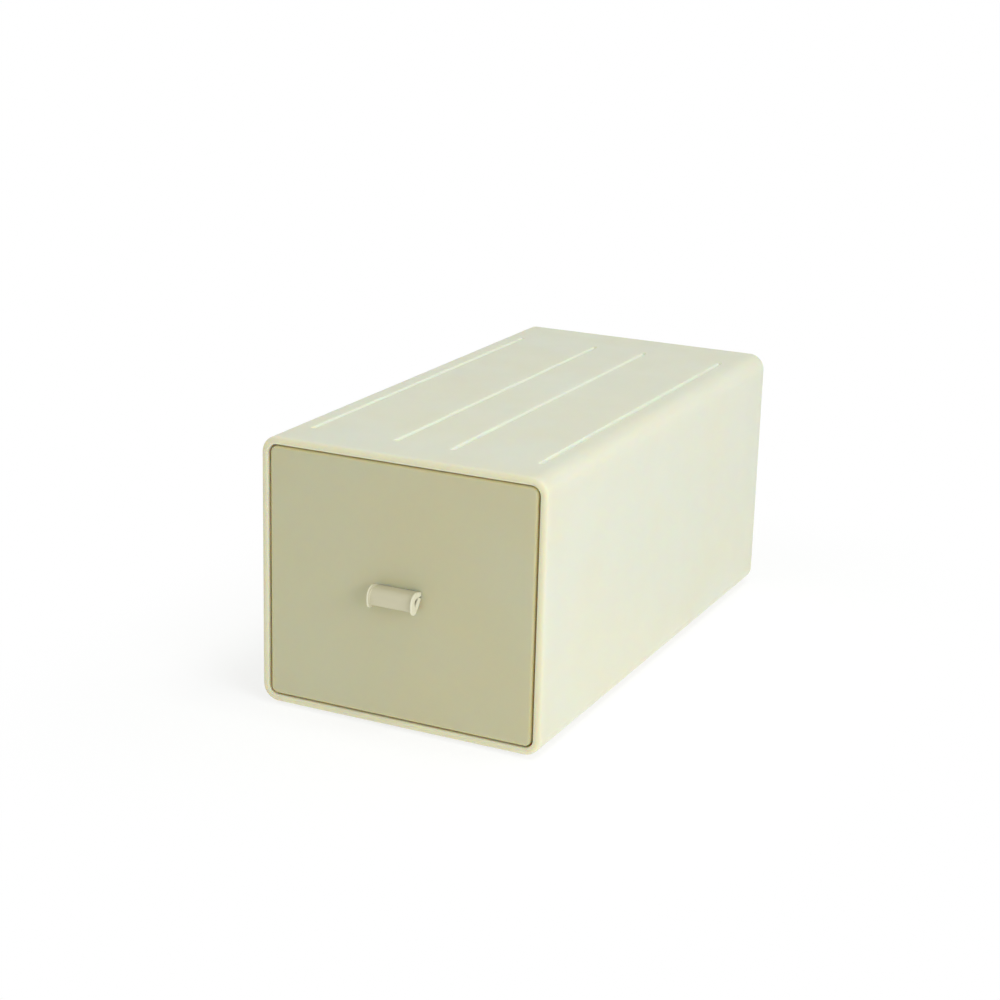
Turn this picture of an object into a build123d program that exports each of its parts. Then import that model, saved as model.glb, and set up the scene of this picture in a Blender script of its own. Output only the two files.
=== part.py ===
"""Stackable box with one pull-out drawer, moulded in plastic. Sizes are in millimetres.

+Z is up, the mouth faces -Y and +X is to the right of someone who faces the drawer. The origin lies
under the middle of the closed box, on the plane that the base ribs stand on.
"""
import math
import os

from build123d import *

# Case: a sleeve, open at both ends
case_width = 104.8  # outside
case_height = 94.0  # outside, without the ribs under the base
case_depth = 204.8  # from the rim of the mouth to the rear end
case_wall = 2.6
case_corner_radius = 5.9  # the four long edges, outside
mouth_outer_round = 1.5  # rounding of the rim at the mouth, outside
mouth_inner_round = 0.6  # and inside

# Stacking grooves in the top, and the ribs under the base that fit such grooves
groove_width = 2.1  # at the top
groove_depth = 1.2
groove_taper = 25.0  # degrees, slope of the sides of a groove and of a rib
groove_edge_gap = 3.25  # flat left between an outer groove and the rounding of the long edge
groove_inner_spacing = 21.0  # between the centre lines of the inner pair
groove_front_margin = 16.0  # from the mouth to the front end of a groove
groove_rear_margin = 22.0  # from the rear end to the rear end of a groove
stack_clearance = 0.2  # rib to groove, at each side, each end and the bottom

# Floor runners and roof stop, moulded on the case
runner_width = 3.0
runner_height = 1.0
runner_spacing = 60.0  # between the centre lines of the runners
runner_lead = 2.0  # length of the sloped front end
stop_setback = 22.2  # from the mouth to the front of the stop's slope
stop_width = 44.0
stop_height = 4.0
stop_land = 1.5  # flat length at the lower edge of the stop
stop_ramp = 6.5  # length of the slope in front of it

# Back: a plate in a rebate of the case, with a skirt that snaps into the case
rear_plate = 2.2
rear_rebate = 1.2  # width of the step that the plate seats on
rear_skirt_depth = 10.0
rear_skirt_wall = 1.6
rear_clearance = 0.15  # plate, skirt and snaps to the case
snap_radius = 0.8
snap_length = 26.0
snap_setback = 4.0  # from the plate to the centre line of a snap

# Drawer front: a plate with a flange behind it and studs that snap into the tray
front_side_gap = 0.8  # plate to the sides of the mouth
front_top_gap = 0.5  # plate to the top and the bottom of the mouth
front_recess = 0.3  # plate behind the rim of the mouth
front_plate = 2.4
front_edge_round = 0.9
flange_depth = 4.0
flange_wall = 1.6
flange_inset = 0.3  # flange behind the edge of the plate
stud_inset = 14.0  # from the tray's sides, bottom and rim
stud_boss_radius = 3.5
stud_radius = 2.0
stud_clearance = 0.1
stud_barb = 0.5  # head over the stud
stud_head = 1.4

# Tray
tray_wall = 1.8  # at the rim
tray_floor = 1.8
tray_draft = 0.6  # degrees, on the inside
tray_side_clearance = 0.8
tray_inner_corner = 4.0
tray_inner_round = 3.0  # round the floor, inside
rim_drop = 9.0  # rim of the side walls below the roof
rim_sweep = 6.0  # radius from the high front wall down to the rim
run_clearance = 0.25  # tray above the runners
closing_gap = 0.3  # closed tray to the rear skirt
stop_clearance = 0.3  # tongue to stop, with the drawer pulled out
tongue_width = 36.0
tongue_slot = 1.2
tongue_slot_depth = 32.0
tongue_roof_gap = 1.6
tongue_lead = 0.9  # bevel on the rear of the tongue's tip

# Pull: a folded strip with a raised rim at both ends, on two barbed legs
pull_width = 17.0
pull_rise = 1.7  # middle of the strip's root above the middle of the front
pull_strip = 1.2
pull_neck = 2.9  # straight length next to the plate
pull_bend_radius = 2.3  # to the middle of the strip
pull_slant = 8.0  # degrees that the front of the fold leans back
pull_drop = 1.9  # straight length from the bend down to the tip
pull_slit = 0.6  # between the neck and the end of the returning strip
pull_return_gap = 0.2  # end of the returning strip to the plate
pull_return_dip = 0.4  # start of the returning strip below the tip
pull_return_sag = 0.6  # bow of the returning strip
pull_rim_width = 0.6
pull_rim_height = 1.4  # over the strip at the front of the fold
pull_rim_top = 0.7  # over the strip at the top of the fold
pull_rim_radius = 3.2  # outside of the rim's bend
pull_rim_band = 2.3  # rim and strip together, seen from the end
pull_rim_drop = 2.6  # straight length from the rim's bend down to its tip
leg_width = 4.0
leg_spacing = 9.0
leg_clearance = 0.15
leg_barb = 0.6
leg_tail = 1.6

# Heights, from the plane that the ribs stand on
rib_height = groove_depth - stack_clearance
case_base = rib_height
case_top = case_base + case_height
bay_width = case_width - 2 * case_wall
bay_height = case_height - 2 * case_wall
bay_corner = case_corner_radius - case_wall
bay_floor = case_base + case_wall
bay_roof = case_top - case_wall
bay_middle = (bay_floor + bay_roof) / 2

# Front to rear, with the closed box and its pull centred on the origin
pull_reach = pull_neck + pull_bend_radius + pull_strip / 2 + pull_rim_height
mouth_y = (pull_reach - front_recess - case_depth) / 2
rear_y = mouth_y + case_depth
front_y = mouth_y + front_recess
flange_y = front_y + front_plate
tray_front = flange_y + flange_depth
rear_seat = rear_y - rear_plate
skirt_front = rear_seat - rear_skirt_depth
tray_rear = skirt_front - closing_gap
stop_front = mouth_y + stop_setback
stop_rear = stop_front + stop_ramp + stop_land
drawer_travel = tray_rear - tray_wall - stop_clearance - stop_rear

# Tray and front
front_width = bay_width - 2 * front_side_gap
front_height = bay_height - 2 * front_top_gap
front_corner = bay_corner - front_side_gap
front_floor = bay_floor + front_top_gap
tray_width = bay_width - 2 * tray_side_clearance
tray_bottom = bay_floor + runner_height + run_clearance
tray_top = front_floor + front_height - flange_inset
tray_rim = bay_roof - rim_drop
pull_root = bay_middle + pull_rise
stud_places = [
    (side * (tray_width / 2 - stud_inset), height)
    for side in (-1, 1)
    for height in (tray_bottom + stud_inset, tray_rim - stud_inset)
]
leg_places = (-leg_spacing / 2, leg_spacing / 2)

# Grooves and ribs
groove_outer_x = case_width / 2 - case_corner_radius - groove_edge_gap - groove_width / 2
groove_inner_x = groove_inner_spacing / 2
groove_places = (-groove_outer_x, -groove_inner_x, groove_inner_x, groove_outer_x)
groove_front = mouth_y + groove_front_margin
groove_rear = rear_y - groove_rear_margin


def rounded_bar(width, height, corner, y_from, y_to, z_from):
    """Bar along Y with a rounded rectangular section that stands on z_from."""
    middle = (0, y_from, z_from + height / 2)
    section = Plane(middle, x_dir=(1, 0, 0), z_dir=(0, 1, 0)) * RectangleRounded(width, height, corner)
    return extrude(section, y_to - y_from)


def rounded_ring(width, height, corner, wall, y_from, y_to, z_from):
    """Rounded bar along Y, hollowed out to a wall."""
    inner_size = (width - 2 * wall, height - 2 * wall, corner - wall)
    ring = rounded_bar(width, height, corner, y_from, y_to, z_from)
    return ring - rounded_bar(*inner_size, y_from, y_to, z_from + wall)


def side_prism(points, width, x_middle=0.0):
    """Prism across X with a side outline of (y, z) points."""
    outline = Plane((x_middle, 0, 0), x_dir=(0, 1, 0), z_dir=(1, 0, 0)) * Polygon(*points, align=None)
    return extrude(outline, width / 2, both=True)


def lengthwise_wedges(width, y_from, y_to, z_from, depth):
    """Round-ended wedges along Y at the places of the stacking grooves, narrowing from z_from downwards."""
    slot = Rot(0, 0, 90) * SlotOverall(y_to - y_from, width)
    middle = (y_from + y_to) / 2
    return [extrude(Pos(x, middle, z_from) * slot, -depth, taper=groove_taper) for x in groove_places]


def snap_ridges(radius, length):
    """Ridges along the middle of the four walls of the rear skirt, centred on its outside."""
    half_width = bay_width / 2 - rear_clearance
    half_height = bay_height / 2 - rear_clearance
    ridge_y = rear_seat - snap_setback
    across = Rot(0, 90, 0) * Cylinder(radius, length)
    upright = Cylinder(radius, length)
    ridges = [Pos(0, ridge_y, bay_middle + side * half_height) * across for side in (-1, 1)]
    return ridges + [Pos(side * half_width, ridge_y, bay_middle) * upright for side in (-1, 1)]


def make_case_sleeve():
    outline = (case_width, case_height, case_corner_radius)
    sleeve = rounded_ring(*outline, case_wall, mouth_y, rear_y, case_base)
    rim = sleeve.faces().sort_by(Axis.Y)[0]
    sleeve = fillet(rim.outer_wire().edges(), min(mouth_outer_round, 0.6 * case_wall))
    rim = sleeve.faces().sort_by(Axis.Y)[0]
    sleeve = fillet(rim.inner_wires()[0].edges(), min(mouth_inner_round, 0.3 * case_wall))
    sleeve -= rounded_bar(
        bay_width + 2 * rear_rebate,
        bay_height + 2 * rear_rebate,
        bay_corner + rear_rebate,
        rear_seat,
        rear_y,
        bay_floor - rear_rebate,
    )
    in_wall = case_wall / 2
    runner_front = tray_front + runner_lead
    runner_top = bay_floor + runner_height
    runner = [
        (runner_front, bay_floor - in_wall),
        (runner_front, bay_floor),
        (runner_front + runner_lead, runner_top),
        (skirt_front - closing_gap, runner_top),
        (skirt_front - closing_gap, bay_floor - in_wall),
    ]
    for side in (-1, 1):
        sleeve += side_prism(runner, runner_width, side * runner_spacing / 2)
    stop = [
        (stop_rear, bay_roof + in_wall),
        (stop_rear, bay_roof - stop_height),
        (stop_rear - stop_land, bay_roof - stop_height),
        (stop_front, bay_roof),
        (stop_front, bay_roof + in_wall),
    ]
    sleeve += side_prism(stop, stop_width)
    sleeve += lengthwise_wedges(
        groove_width - 2 * stack_clearance,
        groove_front + stack_clearance,
        groove_rear - stack_clearance,
        case_base,
        rib_height,
    )
    sleeve -= lengthwise_wedges(groove_width, groove_front, groove_rear, case_top, groove_depth)
    sleeve -= snap_ridges(snap_radius + rear_clearance, snap_length + 2 * rear_clearance)
    return sleeve


def make_rear_panel():
    plate_margin = rear_rebate - rear_clearance
    panel = rounded_bar(
        bay_width + 2 * plate_margin,
        bay_height + 2 * plate_margin,
        bay_corner + plate_margin,
        rear_seat,
        rear_y,
        bay_floor - plate_margin,
    )
    panel += rounded_ring(
        bay_width - 2 * rear_clearance,
        bay_height - 2 * rear_clearance,
        bay_corner - rear_clearance,
        rear_skirt_wall,
        skirt_front,
        rear_seat,
        bay_floor + rear_clearance,
    )
    return panel + snap_ridges(snap_radius, snap_length)


def front_wall_at(height):
    """Thickness of the tray's front wall at a height, with the draft of its inside."""
    return tray_wall + (tray_rim - height) * math.tan(math.radians(tray_draft))


def lying_cylinder(radius, y_from, y_to, x, z, end_radius=None):
    """Round bar along +Y, or a cone where its far end has another radius."""
    far = radius if end_radius is None else end_radius
    bar = Cylinder(radius, y_to - y_from) if far == radius else Cone(radius, far, y_to - y_from)
    return Pos(x, (y_from + y_to) / 2, z) * Rot(-90, 0, 0) * bar


def make_drawer_front():
    front = rounded_bar(front_width, front_height, front_corner, front_y, flange_y, front_floor)
    front = fillet(front.edges().group_by(Axis.Y)[0], front_edge_round)
    front += rounded_ring(
        front_width - 2 * flange_inset,
        front_height - 2 * flange_inset,
        front_corner - flange_inset,
        flange_wall,
        flange_y,
        tray_front,
        front_floor + flange_inset,
    )
    for x, z in stud_places:
        seat = tray_front + front_wall_at(z) + stud_clearance
        front += lying_cylinder(stud_boss_radius, flange_y, tray_front, x, z)
        front += lying_cylinder(stud_radius, tray_front, seat, x, z)
        front += lying_cylinder(stud_radius + stud_barb, seat, seat + stud_head, x, z, stud_radius)
    slot_width = leg_width + 2 * leg_clearance
    slot_height = pull_strip + 2 * leg_clearance
    slot_y = (front_y + flange_y) / 2
    for x in leg_places:
        front -= Pos(x, slot_y, pull_root) * Box(slot_width, front_plate, slot_height)
    return front


def tray_cavity():
    """Space inside the tray: drafted below the rim, straight above it."""
    length = tray_rear - tray_front - 2 * tray_wall
    middle = (0, (tray_front + tray_rear) / 2, tray_rim)
    mouth = Pos(*middle) * RectangleRounded(tray_width - 2 * tray_wall, length, tray_inner_corner)
    floor_z = tray_bottom + tray_floor
    below = extrude(mouth, floor_z - tray_rim, taper=tray_draft)
    below = fillet(below.edges().group_by(Axis.Z)[0], tray_inner_round)
    return below + extrude(mouth, tray_top - tray_rim)


def make_drawer_tray():
    tray = rounded_bar(tray_width, tray_top - tray_bottom, bay_corner, tray_front, tray_rear, tray_bottom)
    tray -= tray_cavity()
    ears_y = tray_front + tray_wall
    above = tray_top + rim_sweep
    rim_points = [(ears_y, above), (ears_y, tray_rim), (tray_rear, tray_rim), (tray_rear, above)]
    rim_cut = side_prism(rim_points, tray_width)
    swept = rim_cut.edges().filter_by(Axis.X).group_by(Axis.Z)[0]
    tray -= fillet(swept.sort_by(Axis.Y)[0], rim_sweep)
    tongue_front = tray_rear - tray_wall
    tongue_top = bay_roof - tongue_roof_gap
    tongue_foot = tray_rim - tray_wall
    tongue = [
        (tongue_front, tongue_foot),
        (tongue_front, tongue_top),
        (tray_rear - tongue_lead, tongue_top),
        (tray_rear, tongue_top - 2 * tongue_lead),
        (tray_rear, tongue_foot),
    ]
    tray += side_prism(tongue, tongue_width)
    slot_thickness = 2 * (tray_wall + front_wall_at(tray_bottom))
    slot = Box(tongue_slot, slot_thickness, 2 * tongue_slot_depth)
    for side in (-1, 1):
        tray -= Pos(side * (tongue_width + tongue_slot) / 2, tray_rear, tray_rim) * slot
    for x, z in stud_places:
        hole_end = tray_front + front_wall_at(tray_bottom)
        tray -= lying_cylinder(stud_radius + stud_clearance, tray_front, hole_end, x, z)
    return tray


def fold_path(start, radius, drop):
    """Middle line of a fold: a bend that turns down from a start, then a straight drop."""
    bend = JernArc(start, (1, 0), radius, -90 - pull_slant)
    return [bend, Line(bend @ 1, bend @ 1 + drop * (bend % 1))]


def strip_face(path, width):
    """Strip along a path of edges, with a round far end."""
    return trace(path, width) + Pos(*(path[-1] @ 1)) * Circle(width / 2)


def make_pull_handle():
    fold = fold_path((pull_neck, 0), pull_bend_radius, pull_drop)
    tip = fold[-1] @ 1
    return_end = (pull_return_gap + pull_strip / 2, -pull_slit - pull_strip)
    returning = SagittaArc((tip.X, tip.Y - pull_return_dip), return_end, pull_return_sag)
    section = strip_face([Line((0, 0), (pull_neck, 0))] + fold, pull_strip)
    section += strip_face([returning], pull_strip)
    strip_top = pull_strip / 2
    rim_top = strip_top + pull_rim_top
    rim_start = pull_reach - pull_rim_radius
    rim_middle = (rim_start, rim_top - pull_rim_band / 2)
    rim = strip_face(fold_path(rim_middle, pull_rim_radius - pull_rim_band / 2, pull_rim_drop), pull_rim_band)
    rim += Polygon((0, strip_top), (rim_start, strip_top), (rim_start, rim_top), align=None)
    side = Plane((0, front_y, pull_root), x_dir=(0, -1, 0), z_dir=(-1, 0, 0))
    pull = extrude(side * section, pull_width / 2, both=True)
    for x in (-1, 1):
        place = Pos(x * (pull_width - pull_rim_width) / 2, 0, 0)
        pull += place * extrude(side * (section + rim), pull_rim_width / 2, both=True)
    hook_front = -front_plate - leg_clearance
    hook_end = hook_front - leg_tail
    leg = [
        (0, strip_top),
        (hook_front, strip_top),
        (hook_front, strip_top + leg_barb),
        (hook_end, strip_top),
        (hook_end, -strip_top),
        (0, -strip_top),
    ]
    for x in leg_places:
        pull += Pos(x, 0, 0) * extrude(side * Polygon(*leg, align=None), leg_width / 2, both=True)
    return pull


pieces = {
    "case_sleeve": make_case_sleeve(),
    "rear_panel": make_rear_panel(),
    "drawer_tray": make_drawer_tray(),
    "drawer_front": make_drawer_front(),
    "pull_handle": make_pull_handle(),
}
os.makedirs("parts", exist_ok=True)
for name, piece in pieces.items():
    export_step(piece, f"parts/{name}.step")
print(f"drawer travel {drawer_travel:.2f} mm")
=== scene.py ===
"""Stackable drawer box in cream moulded plastic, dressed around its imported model.

Lengths are in metres, +Z is up and the drawer's mouth faces -Y.
"""

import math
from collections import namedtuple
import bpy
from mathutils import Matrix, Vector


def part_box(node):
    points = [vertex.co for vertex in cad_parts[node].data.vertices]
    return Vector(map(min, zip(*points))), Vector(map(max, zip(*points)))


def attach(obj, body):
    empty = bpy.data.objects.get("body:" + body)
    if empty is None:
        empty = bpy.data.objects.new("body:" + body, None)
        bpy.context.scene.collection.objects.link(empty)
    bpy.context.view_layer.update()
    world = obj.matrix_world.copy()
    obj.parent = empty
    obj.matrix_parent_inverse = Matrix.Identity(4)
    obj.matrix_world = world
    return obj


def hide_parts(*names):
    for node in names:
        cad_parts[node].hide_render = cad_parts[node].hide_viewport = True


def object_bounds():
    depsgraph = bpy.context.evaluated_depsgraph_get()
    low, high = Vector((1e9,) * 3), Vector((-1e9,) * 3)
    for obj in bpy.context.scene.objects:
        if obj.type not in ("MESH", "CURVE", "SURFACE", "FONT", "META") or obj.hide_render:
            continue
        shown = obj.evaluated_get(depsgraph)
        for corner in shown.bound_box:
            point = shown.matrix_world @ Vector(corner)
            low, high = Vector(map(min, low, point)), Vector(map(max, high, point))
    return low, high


bl_info = {
    "name": "Drawer Storage Box",
    "version": (1, 0, 0),
    "blender": (4, 5, 0),
    "location": "View3D > Sidebar > Drawer Box",
    "description": "Dresses a stackable drawer box in cream moulded plastic on a white stage",
    "category": "Object",
}

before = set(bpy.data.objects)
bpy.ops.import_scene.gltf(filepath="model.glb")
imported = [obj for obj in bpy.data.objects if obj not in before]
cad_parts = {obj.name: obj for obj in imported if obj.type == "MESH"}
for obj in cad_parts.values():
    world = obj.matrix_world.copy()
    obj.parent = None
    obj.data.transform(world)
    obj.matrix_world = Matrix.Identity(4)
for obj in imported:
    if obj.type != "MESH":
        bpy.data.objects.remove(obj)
cad_low, cad_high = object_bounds()

import bmesh
import bpy
from bpy.props import FloatProperty, FloatVectorProperty, IntProperty, PointerProperty
from bpy.types import Operator, Panel, PropertyGroup
from mathutils import Matrix, Vector

quarter_turn = math.radians(90)
white = (1.0, 1.0, 1.0)

# A length that reaches past the whole box on every side.
far_past = 1.0


class PlasticFinish(PropertyGroup):
    """Look of the cream plastic"""

    case_cream: FloatVectorProperty(
        name="Case Cream", description="Colour of the case",
        subtype="COLOR", size=3, min=0, max=1, default=(0.715, 0.715, 0.58),
    )
    drawer_cream: FloatVectorProperty(
        name="Drawer Cream", description="Colour of the drawer, deeper and yellower",
        subtype="COLOR", size=3, min=0, max=1, default=(0.540, 0.522, 0.350),
    )
    pull_cream: FloatVectorProperty(
        name="Pull Cream", description="Colour of the pull",
        subtype="COLOR", size=3, min=0, max=1, default=(0.565, 0.542, 0.398),
    )
    # Painted highlight: the rims at the pull's ends are painted paler than the pull, where light catches
    # them.
    rim_painted_highlight: FloatVectorProperty(
        name="Rim Cream", description="Colour of the rims at the ends of the pull",
        subtype="COLOR", size=3, min=0, max=1, default=(0.74, 0.71, 0.54),
    )
    drift: FloatVectorProperty(
        name="Drift", description="Share of each colour where the plastic drifts towards yellow",
        subtype="COLOR", size=3, min=0, max=2, default=(1.01, 0.985, 0.94),
    )
    # Painted highlight that the edges turn to, where their rounding catches the light.
    edge_highlight: FloatVectorProperty(
        name="Rubbed Edge", description="Colour that rubbed edges turn to",
        subtype="COLOR", size=3, min=0, max=1, default=(0.80, 0.79, 0.62),
    )
    # Painted highlight: the groove walls are painted near white, standing in for the light from the right
    # that falls on them.
    groove_painted_highlight: FloatVectorProperty(
        name="Groove Cream", description="Colour that the stacking grooves are rubbed to",
        subtype="COLOR", size=3, min=0, max=1, default=(0.92, 0.92, 0.77),
    )
    groove_reach: FloatProperty(
        name="Groove Reach", description="Depth below the top where that colour is full",
        unit="LENGTH", default=0.0003,
    )
    groove_depth: FloatProperty(
        name="Groove Depth", description="Depth below the top where that colour ends",
        unit="LENGTH", default=0.0013,
    )
    groove_span: FloatProperty(
        name="Groove Span", description="Half the width that the four grooves take up",
        unit="LENGTH", default=0.0445,
    )
    groove_front: FloatProperty(
        name="Groove Front", description="From the mouth to where that colour starts",
        unit="LENGTH", default=0.0158,
    )
    groove_rear: FloatProperty(
        name="Groove Rear", description="From the rear end to where that colour ends",
        unit="LENGTH", default=0.0226,
    )
    # Painted shade: the case's front-facing lip is painted darker and yellower than the case, the tone it
    # takes in the lesser light on the front.
    mouth_painted_shade: FloatVectorProperty(
        name="Mouth Cream", description="Colour of the case's thin lip round the mouth",
        subtype="COLOR", size=3, min=0, max=1, default=(0.68, 0.655, 0.475),
    )
    mouth_reach: FloatProperty(
        name="Mouth Reach", description="Depth of the lip's colour", unit="LENGTH", default=0.0009,
    )
    # Painted shade: the front's thin border is painted golden brown, the shade of the gap between the front
    # and the case.
    border_painted_shade: FloatVectorProperty(
        name="Border Cream", description="Colour of the front's thin border",
        subtype="COLOR", size=3, min=0, max=1, default=(0.62, 0.545, 0.29),
    )
    border_reach: FloatProperty(
        name="Border Reach", description="Width of the border's colour", unit="LENGTH", default=0.0012,
    )
    drift_size: FloatProperty(
        name="Drift Size", description="Width of a patch of drifting colour", unit="LENGTH", default=0.045,
    )
    grain_size: FloatProperty(
        name="Grain Size", description="Width of a dimple in the mould's satin texture",
        unit="LENGTH", default=0.0005,
    )
    grain_depth: FloatProperty(
        name="Grain Depth", description="Depth of the satin texture", unit="LENGTH", default=0.000012,
    )
    # How far the painted edge highlight reaches from an edge.
    edge_reach: FloatProperty(
        name="Edge Reach", description="How far the rubbing reaches from an edge",
        unit="LENGTH", default=0.0006,
    )
    roughness: FloatProperty(
        name="Roughness", description="Roughness of the satin surface",
        subtype="FACTOR", min=0, max=1, default=0.42,
    )
    shine: FloatProperty(
        name="Shine", description="Level of the mirrored light",
        subtype="FACTOR", min=0, max=1, default=0.3,
    )
    glow: FloatProperty(
        name="Glow", description="Share of the light that passes under the surface",
        subtype="FACTOR", min=0, max=1, default=0.7,
    )
    thin_glow: FloatProperty(
        name="Thin Glow", description="Share of the light that passes under the surface of the thin pull",
        subtype="FACTOR", min=0, max=1, default=0.0,
    )
    glow_depth: FloatProperty(
        name="Glow Depth", description="How far that light travels", unit="LENGTH", default=0.005,
    )
    glow_tint: FloatVectorProperty(
        name="Glow Tint", description="Share of that depth for red, green and blue light",
        subtype="COLOR", size=3, min=0, max=1, default=(1.0, 0.6, 0.25),
    )


class PullFold(PropertyGroup):
    """Fold of the pull, measured along the middle of its strip"""

    strip: FloatProperty(
        name="Strip", description="Thickness of the strip", unit="LENGTH", default=0.0012,
    )
    width: FloatProperty(
        name="Width", description="Length of the pull across the front", unit="LENGTH", default=0.0166,
    )
    neck: FloatProperty(
        name="Neck", description="Straight part next to the plate", unit="LENGTH", default=0.0027,
    )
    bend: FloatProperty(
        name="Bend", description="Radius of the bend at the front", unit="LENGTH", default=0.0023,
    )
    bend_turn: FloatProperty(
        name="Bend Turn", description="Turn of the bend at the front",
        subtype="ANGLE", default=math.radians(98),
    )
    bend_steps: IntProperty(
        name="Bend Steps", description="Straight steps that make up the bend", min=1, default=14,
    )
    drop: FloatProperty(
        name="Drop", description="Straight part below the bend", unit="LENGTH", default=0.0014,
    )
    tip: FloatProperty(
        name="Tip", description="Radius of the fold at the tip", unit="LENGTH", default=0.00085,
    )
    tip_turn: FloatProperty(
        name="Tip Turn", description="Turn of the fold at the tip",
        subtype="ANGLE", default=math.radians(120),
    )
    tip_steps: IntProperty(
        name="Tip Steps", description="Straight steps that make up the fold at the tip", min=1, default=12,
    )
    curl: FloatProperty(
        name="Curl", description="Radius of the strip that returns to the plate",
        unit="LENGTH", default=0.0097,
    )
    curl_turn: FloatProperty(
        name="Curl Turn", description="Turn of the strip that returns to the plate",
        subtype="ANGLE", default=math.radians(26),
    )
    curl_steps: IntProperty(
        name="Curl Steps", description="Straight steps that make up the strip that returns", min=1, default=6,
    )
    rim_width: FloatProperty(
        name="Rim Width", description="Width of the raised rim at each end", unit="LENGTH", default=0.0005,
    )
    rim_top: FloatProperty(
        name="Rim Top", description="Height of the rim where the bend starts",
        unit="LENGTH", default=0.0007,
    )
    rim_front: FloatProperty(
        name="Rim Front", description="Height of the rim at the front", unit="LENGTH", default=0.0012,
    )
    rim_back: FloatProperty(
        name="Rim Back", description="Height of the rim inside the strip that returns",
        unit="LENGTH", default=0.0009,
    )
    edge: FloatProperty(
        name="Edge", description="Rounding of the pull's edges", unit="LENGTH", default=0.00017,
    )
    edge_steps: IntProperty(
        name="Edge Steps", description="Straight steps that make up that rounding", min=1, default=3,
    )
    leg_inner: FloatProperty(
        name="Leg Inner Side", description="Inner side of each leg from the middle",
        unit="LENGTH", default=0.0025,
    )
    leg_outer: FloatProperty(
        name="Leg Outer Side", description="Outer side of each leg from the middle",
        unit="LENGTH", default=0.0065,
    )
    leg_length: FloatProperty(
        name="Leg Length", description="Length of a leg through the plate",
        unit="LENGTH", default=0.00255,
    )
    barb_length: FloatProperty(
        name="Barb Length", description="Length of the barb behind the plate",
        unit="LENGTH", default=0.0016,
    )
    barb_height: FloatProperty(
        name="Barb Height", description="Height of the barb over its leg", unit="LENGTH", default=0.0006,
    )


class StudioLook(PropertyGroup):
    """Camera, white surround and floor"""

    camera_place: FloatVectorProperty(
        name="Camera", description="Place of the camera",
        subtype="TRANSLATION", unit="LENGTH", size=3, default=(0.30848, -0.67243, 0.27768),
    )
    azimuth: FloatProperty(
        name="Azimuth", description="Turn of the camera to the right of the front",
        subtype="ANGLE", default=math.radians(25.42),
    )
    elevation: FloatProperty(
        name="Elevation", description="Slope of the view from above",
        subtype="ANGLE", default=math.radians(16.79),
    )
    roll: FloatProperty(
        name="Roll", description="Tilt of the picture", subtype="ANGLE", default=math.radians(1.57),
    )
    lens: FloatProperty(
        name="Lens", description="Focal length in millimetres", unit="CAMERA", default=75.78,
    )
    sensor: FloatProperty(
        name="Sensor", description="Width of the sensor in millimetres", unit="CAMERA", default=36.0,
    )
    ambient: FloatVectorProperty(
        name="Ambient", description="Light from all round",
        subtype="COLOR", size=3, default=(0.487, 0.50, 0.478),
    )
    floor_half: FloatProperty(
        name="Floor Half", description="Half the width of the floor", unit="LENGTH", default=15.0,
    )
    table_white: FloatProperty(
        name="Table White", description="Share of the light that the floor sends back to the box",
        subtype="FACTOR", min=0, max=1, default=0.95,
    )
    table_lift: FloatProperty(
        name="Table Lift", description="Light that the floor adds from below",
        subtype="FACTOR", min=0, max=1, default=0.2,
    )
    shadow_share: FloatProperty(
        name="Shadow Share", description="Share of the floor's tone that a shadow can take away",
        subtype="FACTOR", min=0, max=1, default=0.30,
    )
    floor_glow: FloatProperty(
        name="Floor Glow", description="Share of the floor's tone that stays in a shadow",
        subtype="FACTOR", min=0, max=1, default=0.73,
    )
    floor_fade: FloatProperty(
        name="Floor Fade", description="Distance from the box where the floor is plain white",
        unit="LENGTH", default=0.11,
    )


class DrawerBoxSettings(PropertyGroup):
    """Everything that can be changed on the box"""

    finish: PointerProperty(name="Finish", description="Look of the cream plastic", type=PlasticFinish)
    fold: PointerProperty(name="Fold", description="Fold of the pull", type=PullFold)
    studio: PointerProperty(name="Studio", description="Camera, surround and floor", type=StudioLook)


def add_node(tree, kind, **settings):
    """New shader node with its own settings."""
    made = tree.nodes.new(kind)
    for name, value in settings.items():
        setattr(made, name, value)
    return made


def add_noise(tree, place, size, detail=2.0):
    """Noise whose patches have about a size, on a socket of coordinates."""
    noise = add_node(tree, "ShaderNodeTexNoise")
    noise.inputs["Scale"].default_value = 1.0 / size
    noise.inputs["Detail"].default_value = detail
    tree.links.new(place, noise.inputs["Vector"])
    return noise.outputs["Fac"]


def add_range(tree, value, low, high, to_low, to_high):
    """Value between low and high, spread from to_low to to_high."""
    ranged = add_node(tree, "ShaderNodeMapRange", interpolation_type="SMOOTHSTEP")
    for name, number in (("From Min", low), ("From Max", high), ("To Min", to_low), ("To Max", to_high)):
        ranged.inputs[name].default_value = number
    tree.links.new(value, ranged.inputs["Value"])
    return ranged.outputs["Result"]


# Places of the Mix node's colours among its sockets: the two that it takes and the one that it gives.
first_colour, second_colour = 6, 7
mixed_colour = 2


def add_tint(tree, share, first, second):
    """Colour between two, each a socket or plain numbers."""
    tint = add_node(tree, "ShaderNodeMix", data_type="RGBA")
    tree.links.new(share, tint.inputs["Factor"])
    for colour, place in ((first, first_colour), (second, second_colour)):
        if isinstance(colour, bpy.types.NodeSocket):
            tree.links.new(colour, tint.inputs[place])
        else:
            tint.inputs[place].default_value = (*colour, 1.0)
    return tint.outputs[mixed_colour]


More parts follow.
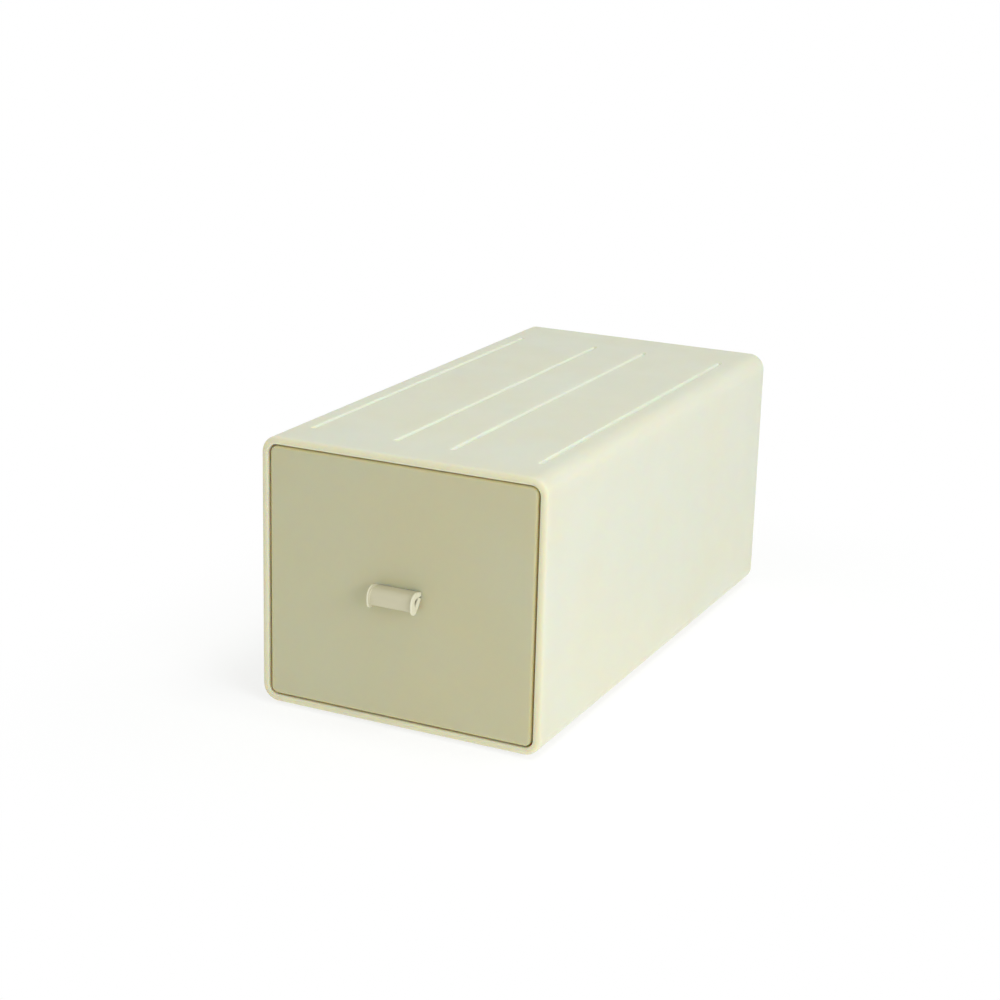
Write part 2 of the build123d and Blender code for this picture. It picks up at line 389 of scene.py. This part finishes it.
def add_beyond(tree, low, high):
    """Distance of each point outside a box."""
    low, high = Vector(low), Vector(high)
    place = add_node(tree, "ShaderNodeTexCoord").outputs["Object"]
    zero = (0, 0, 0)
    moves = (
        ("SUBTRACT", (low + high) / 2),
        ("ABSOLUTE", zero),
        ("SUBTRACT", (high - low) / 2),
        ("MAXIMUM", zero),
    )
    for operation, number in moves:
        move = add_node(tree, "ShaderNodeVectorMath", operation=operation)
        tree.links.new(place, move.inputs[0])
        move.inputs[1].default_value = number
        place = move.outputs["Vector"]
    distance = add_node(tree, "ShaderNodeVectorMath", operation="LENGTH")
    tree.links.new(place, distance.inputs[0])
    return distance.outputs["Value"]


# A box, and the colour that plastic turns to outside it, or within it where within is 1, over a reach.
Patch = namedtuple("Patch", "low high reach colour within")

# Levels of the noise between which the tint drifts and the surface gets hazier.
drift_band = (0.35, 0.65)
haze_band = (0.3, 0.7)

# Haze: its change of roughness either way, its patches across one patch of tint, and its detail.
haze_spread = 0.05
haze_patches = 3
haze_detail = 4.0

# Satin grain: the detail of its dimples and how strongly they show.
grain_detail = 3.0
grain_strength = 0.5

# Painted edge highlight: cosines between the true and the softened surface where the highlight is fullest and
# where it ends, its share at the fullest, and the samples that soften the surface.
edge_highlight_band = (0.8, 1.0)
edge_highlight_share = 0.6
edge_samples = 4


def drifting_tint(tree, place, cream, finish, patches):
    """Cream that drifts slowly towards yellow and turns to painted shade and highlight in its patches."""
    drift = add_noise(tree, place, finish.drift_size)
    drifted = [share * channel for share, channel in zip(finish.drift, cream)]
    tint = add_tint(tree, add_range(tree, drift, *drift_band, 0.0, 1.0), cream, drifted)
    for patch in patches:
        beyond = add_beyond(tree, patch.low, patch.high)
        share = add_range(tree, beyond, 0.0, patch.reach, patch.within, 1.0 - patch.within)
        tint = add_tint(tree, share, tint, patch.colour)
    return tint


def painted_edge_highlight(tree, finish):
    """Share of painted highlight, which grows where the surface turns an edge."""
    softened = add_node(tree, "ShaderNodeBevel", samples=edge_samples)
    softened.inputs["Radius"].default_value = finish.edge_reach
    straight = add_node(tree, "ShaderNodeNewGeometry").outputs["Normal"]
    along = add_node(tree, "ShaderNodeVectorMath", operation="DOT_PRODUCT")
    tree.links.new(softened.outputs["Normal"], along.inputs[0])
    tree.links.new(straight, along.inputs[1])
    return add_range(tree, along.outputs["Value"], *edge_highlight_band, edge_highlight_share, 0.0)


def satin_grain(tree, place, finish):
    """Fine dimples that the mould leaves."""
    bump = add_node(tree, "ShaderNodeBump")
    bump.inputs["Strength"].default_value = grain_strength
    bump.inputs["Distance"].default_value = finish.grain_depth
    tree.links.new(add_noise(tree, place, finish.grain_size, grain_detail), bump.inputs["Height"])
    return bump.outputs["Normal"]


def moulded_plastic(name, cream, finish, glow, patches=()):
    """Satin cream plastic: drifting tint with painted shade and highlight in its patches, fine mould texture,
    uneven haze and painted highlights along its edges.
    """
    material = bpy.data.materials.new(name)
    material.use_nodes = True
    tree = material.node_tree
    shell = tree.nodes["Principled BSDF"]
    place = add_node(tree, "ShaderNodeTexCoord").outputs["Object"]
    tint = drifting_tint(tree, place, cream, finish, patches)
    # Edges are painted lighter as a highlight.
    tint = add_tint(tree, painted_edge_highlight(tree, finish), tint, finish.edge_highlight)
    tree.links.new(tint, shell.inputs["Base Color"])
    haze = add_noise(tree, place, finish.drift_size / haze_patches, haze_detail)
    smooth, hazy = finish.roughness - haze_spread, finish.roughness + haze_spread
    tree.links.new(add_range(tree, haze, *haze_band, smooth, hazy), shell.inputs["Roughness"])
    tree.links.new(satin_grain(tree, place, finish), shell.inputs["Normal"])
    shell.inputs["Specular IOR Level"].default_value = finish.shine
    shell.inputs["Subsurface Weight"].default_value = glow
    shell.inputs["Subsurface Scale"].default_value = finish.glow_depth
    shell.inputs["Subsurface Radius"].default_value = finish.glow_tint
    return material


def dress(node_name, material):
    """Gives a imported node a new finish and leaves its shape."""
    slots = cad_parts[node_name].material_slots
    if not slots:
        raise RuntimeError(f"{node_name} has no slot for its finish")
    for slot in slots:
        slot.material = material


class DRAWERBOX_OT_case(Operator):
    """Finishes the case: the sleeve and its back"""

    bl_idname = "drawerbox.case"
    bl_label = "Case"

    def execute(self, context):
        finish = context.scene.drawer_box.finish
        low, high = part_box("case_sleeve")
        # The lip round the mouth gets painted shade.
        behind_mouth = Vector((low.x, low.y + finish.mouth_reach, low.z))
        mouth = Patch(behind_mouth, high, finish.mouth_reach, finish.mouth_painted_shade, within=0.0)
        # The grooves' walls take a painted highlight in place of the light that falls into them.
        grooves_low = (-finish.groove_span, low.y + finish.groove_front, high.z - finish.groove_depth)
        grooves_high = (finish.groove_span, high.y - finish.groove_rear, high.z - finish.groove_reach)
        grooves = Patch(grooves_low, grooves_high, finish.groove_reach, finish.groove_painted_highlight, within=1.0)
        patches = (mouth, grooves)
        plastic = moulded_plastic("case_plastic_satin", finish.case_cream, finish, finish.glow, patches)
        for name in ("case_sleeve", "rear_panel"):
            dress(name, plastic)
        return {"FINISHED"}


class DRAWERBOX_OT_drawer(Operator):
    """Finishes the drawer: the tray and its front"""

    bl_idname = "drawerbox.drawer"
    bl_label = "Drawer"

    def execute(self, context):
        finish = context.scene.drawer_box.finish
        plastic = moulded_plastic("tray_plastic_satin", finish.drawer_cream, finish, finish.glow)
        dress("drawer_tray", plastic)
        low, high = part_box("drawer_front")
        # The front's border gets painted shade from the gap round it.
        inset = Vector((finish.border_reach, -far_past, finish.border_reach))
        border = Patch(low + inset, high - inset, finish.border_reach, finish.border_painted_shade, within=0.0)
        plastic = moulded_plastic("front_plastic_satin", finish.drawer_cream, finish, finish.glow, (border,))
        dress("drawer_front", plastic)
        return {"FINISHED"}


# Points of the pull closer than this share of its strip, or turns closer than this angle, are the same.
near_share = 0.05
near_turn = 0.0001

# How the pull's shape is read: power of the rim's fade, slopes of the returning strip's inner side,
# height of a leg's top over its middle as a share of the strip, and turn from which an edge is sharp.
rim_fade = 1.5
back_slope = -0.5
up_slope = 0.2
leg_top_share = 0.4
sharp_turn = math.radians(40)

# Distance at which points are joined, and width of the change to the rims' painted highlight as a share of
# the rim.
weld_distance = 1e-6
rim_blend = 0.25


def faces_of(geometry):
    """Faces among the results of an operator."""
    return [item for item in geometry if isinstance(item, bmesh.types.BMFace)]


def verts_of(geometry):
    """Points among the results of an operator."""
    return [item for item in geometry if isinstance(item, bmesh.types.BMVert)]


def with_edges(faces):
    """Faces and their edges, which leave no face behind inside the shape when they are drawn out."""
    if not faces:
        raise RuntimeError("The pull has no faces to draw out here")
    return [*faces, *dict.fromkeys(edge for face in faces for edge in face.edges)]


def draw_out(shape, faces, move):
    """Draws faces out along a straight move and returns the new end faces."""
    drawn = bmesh.ops.extrude_face_region(shape, geom=with_edges(faces))["geom"]
    bmesh.ops.translate(shape, verts=verts_of(drawn), vec=move)
    return faces_of(drawn)


class StripPen:
    """End of a folding strip: its faces, its middle and where it heads."""

    def __init__(self, shape, faces, place, heading):
        self.shape = shape
        self.faces = faces
        self.place = place
        self.heading = heading

    def straight(self, length):
        """Draws the strip on without a turn."""
        move = self.heading * length
        self.faces = draw_out(self.shape, self.faces, move)
        self.place = self.place + move

    def fold(self, radius, turn, steps):
        """Folds the strip towards its under side and returns the middle of the fold."""
        centre = self.place + Matrix.Rotation(quarter_turn, 3, "X") @ self.heading * radius
        geometry = with_edges(self.faces)
        spun = bmesh.ops.spin(
            self.shape, geom=geometry, cent=centre, axis=(1, 0, 0), angle=turn, steps=steps,
        )
        turned = Matrix.Rotation(turn, 3, "X")
        self.faces = faces_of(spun["geom_last"])
        self.place = centre + turned @ (self.place - centre)
        self.heading = turned @ self.heading
        return centre


def on_outer_side(spoke, radius, fold):
    """Whether a point lies on the outer side of a fold, by its spoke from the middle of the fold."""
    return abs(spoke.length - radius - fold.strip / 2) < fold.strip * near_share


def rim_rise(point, fold, root, bend_centre, tip_centre):
    """Move that lifts a point of the strip's outer side to the rim, or None for other points."""
    side = Vector((0, point.y, point.z))
    if abs(side.y - root.y) < fold.strip * near_share and side.z > root.z:
        return Vector((0, 0, 0))
    spoke = side - bend_centre
    turn = math.atan2(-spoke.y, spoke.z)
    if on_outer_side(spoke, fold.bend, fold) and -near_turn < turn < fold.bend_turn + near_turn:
        height = fold.rim_top + (fold.rim_front - fold.rim_top) * math.sin(turn)
        return spoke.normalized() * height
    spoke = side - tip_centre
    turn = math.atan2(-spoke.y, spoke.z) % math.tau - fold.bend_turn
    if on_outer_side(spoke, fold.tip, fold) and -near_turn < turn < fold.tip_turn + near_turn:
        share = min(max(turn / fold.tip_turn, 0.0), 1.0)
        return spoke.normalized() * fold.rim_front * (1.0 - share ** rim_fade)
    return None


def add_rims(shape, fold, root, bend_centre, tip_centre):
    """Raises a rim on the outer side of the fold at both ends of the pull."""
    def rise(vert):
        return rim_rise(vert.co, fold, root, bend_centre, tip_centre)

    rim_start = fold.width / 2 - fold.rim_width
    for end in (-1, 1):
        band = [
            face for face in shape.faces
            if end * face.calc_center_median().x > rim_start
            and all(rise(vert) is not None for vert in face.verts)
        ]
        for vert in verts_of(bmesh.ops.extrude_face_region(shape, geom=with_edges(band))["geom"]):
            vert.co += rise(vert)


def add_back_rims(shape, fold, tip_centre):
    """Raises a rim inside the returning strip at both ends of the pull."""
    rim_start = fold.width / 2 - fold.rim_width
    shape.normal_update()
    for end in (-1, 1):
        band = [
            face for face in shape.faces
            if end * face.calc_center_median().x > rim_start
            and face.calc_center_median().y > tip_centre.y
            and face.normal.y < back_slope
            and face.normal.z > up_slope
        ]
        draw_out(shape, band, Vector((0, -fold.rim_back, 0)))


def add_legs(shape, fold, root):
    """Draws two barbed legs back from the root, through the plate."""
    middle = (fold.leg_inner + fold.leg_outer) / 2
    barb_start = root.y + fold.leg_length
    leg_top = root.z + leg_top_share * fold.strip
    for side in (-1, 1):
        foot = root + Vector((side * middle, 0, 0))
        start = [
            face for face in shape.faces
            if (face.calc_center_median() - foot).length < fold.strip * near_share
        ]
        leg = draw_out(shape, start, Vector((0, fold.leg_length, 0)))
        draw_out(shape, leg, Vector((0, fold.barb_length, 0)))
        top = [
            face for face in shape.faces
            if side * face.calc_center_median().x > 0
            and face.calc_center_median().y > barb_start
            and face.calc_center_median().z > leg_top
        ]
        for vert in verts_of(bmesh.ops.extrude_face_region(shape, geom=with_edges(top))["geom"]):
            if vert.co.y < barb_start + fold.barb_length / 2:
                vert.co.z += fold.barb_height


def strip_end(shape, fold, root):
    """Lays out the strip's first section, upright at the root and cut where legs and rims begin."""
    bmesh.ops.create_grid(shape, x_segments=1, y_segments=1, size=0.5)
    bmesh.ops.scale(shape, verts=shape.verts, vec=(fold.width, fold.strip, 1))
    bmesh.ops.rotate(shape, verts=shape.verts, matrix=Matrix.Rotation(quarter_turn, 3, "X"))
    bmesh.ops.translate(shape, verts=shape.verts, vec=root)
    for cut in (fold.leg_inner, fold.leg_outer, fold.width / 2 - fold.rim_width):
        for x in (-cut, cut):
            geometry = shape.verts[:] + shape.edges[:] + shape.faces[:]
            bmesh.ops.bisect_plane(shape, geom=geometry, plane_co=(x, 0, 0), plane_no=(1, 0, 0))


def soften_edges(shape, fold):
    """Rounds every sharp edge of the pull."""
    sharp = [edge for edge in shape.edges if edge.calc_face_angle(0.0) > sharp_turn]
    bmesh.ops.bevel(
        shape, geom=sharp, offset=fold.edge, offset_type="OFFSET", segments=fold.edge_steps, profile=0.5,
        affect="EDGES", material=-1, clamp_overlap=True,
    )
    bmesh.ops.recalc_face_normals(shape, faces=shape.faces)


def folded_pull(fold, root):
    """Strip folded into a grip, with raised end rims and two barbed legs."""
    shape = bmesh.new()
    strip_end(shape, fold, root)
    pen = StripPen(shape, shape.faces[:], root.copy(), Vector((0, -1, 0)))
    pen.straight(fold.neck)
    bend_centre = pen.fold(fold.bend, fold.bend_turn, fold.bend_steps)
    pen.straight(fold.drop)
    tip_centre = pen.fold(fold.tip, fold.tip_turn, fold.tip_steps)
    pen.fold(fold.curl, fold.curl_turn, fold.curl_steps)
    bmesh.ops.recalc_face_normals(shape, faces=shape.faces)
    add_rims(shape, fold, root, bend_centre, tip_centre)
    add_back_rims(shape, fold, tip_centre)
    add_legs(shape, fold, root)
    bmesh.ops.remove_doubles(shape, verts=shape.verts, dist=weld_distance)
    bmesh.ops.recalc_face_normals(shape, faces=shape.faces)
    soften_edges(shape, fold)
    for face in shape.faces:
        face.smooth = True
    return shape


class DRAWERBOX_OT_pull(Operator):
    """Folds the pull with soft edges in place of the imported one"""

    bl_idname = "drawerbox.pull"
    bl_label = "Pull"

    def execute(self, context):
        settings = context.scene.drawer_box
        fold, finish = settings.fold, settings.finish
        plate_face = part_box("drawer_front")[0].y
        packed_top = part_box("pull_handle")[1].z
        root = Vector((0, plate_face, packed_top - fold.rim_top - fold.strip / 2))
        shape = folded_pull(fold, root)
        mesh = bpy.data.meshes.new("folded_pull")
        shape.to_mesh(mesh)
        shape.free()
        inside = Vector((fold.width / 2 - fold.rim_width, far_past, far_past))
        # The pull's end rims get a painted highlight.
        rims = Patch(-inside, inside, fold.rim_width * rim_blend, finish.rim_painted_highlight, within=0.0)
        plastic = moulded_plastic("pull_plastic_satin", finish.pull_cream, finish, finish.thin_glow, (rims,))
        mesh.materials.append(plastic)
        pull = bpy.data.objects.new("folded_pull", mesh)
        context.scene.collection.objects.link(pull)
        shading = pull.modifiers.new("even_shading", "WEIGHTED_NORMAL")
        shading.keep_sharp = True
        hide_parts("pull_handle")
        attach(pull, "drawer")
        return {"FINISHED"}


def seen_rays(tree):
    """Socket that is 1 for rays that show the surround: straight, mirrored or through glass."""
    path = add_node(tree, "ShaderNodeLightPath")
    total = path.outputs["Is Camera Ray"]
    for name in ("Is Glossy Ray", "Is Transmission Ray"):
        both = add_node(tree, "ShaderNodeMath", operation="MAXIMUM")
        tree.links.new(total, both.inputs[0])
        tree.links.new(path.outputs[name], both.inputs[1])
        total = both.outputs["Value"]
    return total


def white_surround(scene, studio):
    """World that lights the box softly from all round and shows white."""
    world = bpy.data.worlds.new("white_surround")
    world.use_nodes = True
    tree = world.node_tree
    background = tree.nodes["Background"]
    tint = add_tint(tree, seen_rays(tree), studio.ambient, white)
    tree.links.new(tint, background.inputs["Color"])
    background.inputs["Strength"].default_value = 1.0
    scene.world = world


def add_matte(tree, level):
    """Shader of a matt grey that sends back a share of the light."""
    matte = add_node(tree, "ShaderNodeBsdfDiffuse")
    matte.inputs["Color"].default_value = (level, level, level, 1.0)
    return matte.outputs[0]


def add_glow(tree, strength):
    """Shader that gives off white light."""
    glow = add_node(tree, "ShaderNodeEmission")
    glow.inputs["Strength"].default_value = strength
    return glow.outputs[0]


def add_sum(tree, first, second):
    """Both shaders together."""
    total = add_node(tree, "ShaderNodeAddShader")
    tree.links.new(first, total.inputs[0])
    tree.links.new(second, total.inputs[1])
    return total.outputs[0]


def add_choice(tree, share, first, second):
    """Shader that goes from the first to the second as the share goes from 0 to 1."""
    mixed = add_node(tree, "ShaderNodeMixShader")
    tree.links.new(share, mixed.inputs["Fac"])
    tree.links.new(first, mixed.inputs[1])
    tree.links.new(second, mixed.inputs[2])
    return mixed.outputs[0]


def floor_white(studio):
    """White that lights the box as a pale table does, and shows a faint shadow only near the box."""
    material = bpy.data.materials.new("floor_white")
    material.use_nodes = True
    tree = material.node_tree
    tree.nodes.clear()
    table = add_sum(tree, add_matte(tree, studio.table_white), add_glow(tree, studio.table_lift))
    near = add_sum(tree, add_matte(tree, studio.shadow_share), add_glow(tree, studio.floor_glow))
    away = add_range(tree, add_beyond(tree, cad_low, cad_high), 0.0, studio.floor_fade, 0.0, 1.0)
    shown = add_choice(tree, away, near, add_glow(tree, 1.0))
    output = add_node(tree, "ShaderNodeOutputMaterial")
    tree.links.new(add_choice(tree, seen_rays(tree), table, shown), output.inputs["Surface"])
    return material


def white_floor(scene, studio):
    """Wide floor that shows white and keeps a faint shadow."""
    mesh = bpy.data.meshes.new("floor")
    shape = bmesh.new()
    bmesh.ops.create_grid(shape, x_segments=1, y_segments=1, size=studio.floor_half)
    shape.to_mesh(mesh)
    shape.free()
    mesh.materials.append(floor_white(studio))
    floor = bpy.data.objects.new("floor", mesh)
    scene.collection.objects.link(floor)


# Large area lamps that face the middle of the box, with their sizes in metres and power in watts.
Softbox = namedtuple("Softbox", "name place width height power colour")
softboxes = (
    Softbox(
        "right_softbox", place=(0.82, -0.50, 0.36), width=0.5, height=0.4, power=3.2,
        colour=(1.0, 1.0, 1.14),
    ),
    Softbox(
        "top_softbox", place=(0.30, -0.10, 1.00), width=0.4, height=0.3, power=3.1,
        colour=(0.97, 1.0, 0.97),
    ),
    Softbox("front_softbox", place=(-0.10, -0.90, 0.17), width=0.6, height=0.3, power=0.6, colour=white),
)


def hang_softbox(scene, box, aim):
    """Lamp that faces a point and isn't seen itself."""
    lamp = bpy.data.lights.new(box.name, "AREA")
    lamp.shape = "RECTANGLE"
    lamp.size = box.width
    lamp.size_y = box.height
    lamp.energy = box.power
    lamp.color = box.colour
    holder = bpy.data.objects.new(box.name, lamp)
    holder.visible_camera = False
    holder.visible_glossy = False
    holder.location = box.place
    holder.rotation_euler = (aim - Vector(box.place)).to_track_quat("-Z", "Y").to_euler()
    scene.collection.objects.link(holder)


def photo_camera(scene, studio):
    """Camera to the front right of the box and a little above it."""
    data = bpy.data.cameras.new("camera")
    data.lens = studio.lens
    data.sensor_width = studio.sensor
    camera = bpy.data.objects.new("camera", data)
    turn = Matrix.Rotation(studio.azimuth, 4, "Z")
    tilt = Matrix.Rotation(quarter_turn - studio.elevation, 4, "X")
    roll = Matrix.Rotation(studio.roll, 4, "Z")
    camera.matrix_world = Matrix.Translation(studio.camera_place) @ turn @ tilt @ roll
    scene.collection.objects.link(camera)
    scene.camera = camera


class DRAWERBOX_OT_stage(Operator):
    """Sets the white floor and surround, the softboxes and the camera"""

    bl_idname = "drawerbox.stage"
    bl_label = "Stage"

    def execute(self, context):
        scene = context.scene
        studio = scene.drawer_box.studio
        scene.view_settings.view_transform = "Standard"
        white_surround(scene, studio)
        white_floor(scene, studio)
        for box in softboxes:
            hang_softbox(scene, box, (cad_low + cad_high) / 2)
        photo_camera(scene, studio)
        return {"FINISHED"}


class DRAWERBOX_PT_panel(Panel):
    """Lists the steps that dress the box"""

    bl_idname = "DRAWERBOX_PT_panel"
    bl_label = "Drawer Box"
    bl_space_type = "VIEW_3D"
    bl_region_type = "UI"
    bl_category = "Drawer Box"

    def draw(self, context):
        layout = self.layout
        for step in steps:
            layout.operator(step.bl_idname)
        settings = context.scene.drawer_box
        for group in (settings.finish, settings.fold, settings.studio):
            column = layout.column()
            for name in group.__annotations__:
                column.prop(group, name)


steps = (DRAWERBOX_OT_case, DRAWERBOX_OT_drawer, DRAWERBOX_OT_pull, DRAWERBOX_OT_stage)
classes = (PlasticFinish, PullFold, StudioLook, DrawerBoxSettings, *steps, DRAWERBOX_PT_panel)


def register():
    """Makes the classes known and gives the scene its settings."""
    for item in classes:
        bpy.utils.register_class(item)
    bpy.types.Scene.drawer_box = PointerProperty(
        name="Drawer Box", description="Settings of the drawer box", type=DrawerBoxSettings,
    )


def unregister():
    """Takes the settings and the classes away again."""
    del bpy.types.Scene.drawer_box
    for item in reversed(classes):
        bpy.utils.unregister_class(item)


def main():
    """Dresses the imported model."""
    register()
    bpy.ops.drawerbox.case()
    bpy.ops.drawerbox.drawer()
    bpy.ops.drawerbox.pull()
    bpy.ops.drawerbox.stage()


if __name__ == "__main__":
    main()
